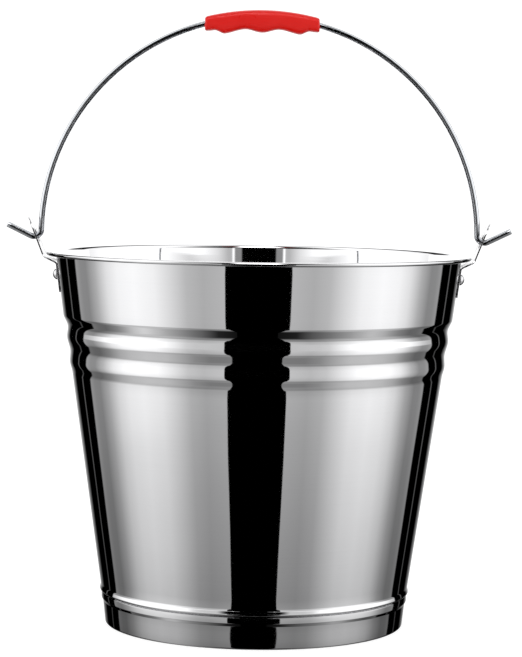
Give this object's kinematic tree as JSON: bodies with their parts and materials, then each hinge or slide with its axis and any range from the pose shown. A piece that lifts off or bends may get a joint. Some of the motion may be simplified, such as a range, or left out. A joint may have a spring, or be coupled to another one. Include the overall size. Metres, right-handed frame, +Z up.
{
  "type": "wash bucket",
  "caption": "Tapered polished steel pail with rolled beads, a rolled rim, riveted ears and a swinging wire bail with a moulded finger grip.",
  "frame": {"origin": "on the floor, under the centre of the foot ring", "axes": "+Z up through the pail's mouth; the ears and the bail's pivot lie along X; the upright bail stands in the X-Z plane"},
  "size_m": [0.3442, 0.29, 0.4184],
  "materials": {
    "pail_steel": "polished",
    "foot_steel": "polished",
    "ear_steel": "satin",
    "rivet_steel": "satin",
    "bail_wire": "polished",
    "grip_plastic": "satin"
  },
  "bodies": {
    "pail": {"pail_wall": "pail_steel", "base_disc": "pail_steel", "foot_ring": "foot_steel", "ear_left": "ear_steel", "ear_right": "ear_steel", "rivet_left_front": "rivet_steel", "rivet_left_rear": "rivet_steel", "rivet_right_front": "rivet_steel", "rivet_right_rear": "rivet_steel"},
    "bail": {"bail": "bail_wire", "grip": "grip_plastic"}
  },
  "joints": [
    {"name": "bail_swing", "type": "hinge", "parent": "pail", "child": "bail", "pos_m": [0, 0, 0.26323], "axis": [1, 0, 0], "range_deg": [-90, 90]}
  ]
}
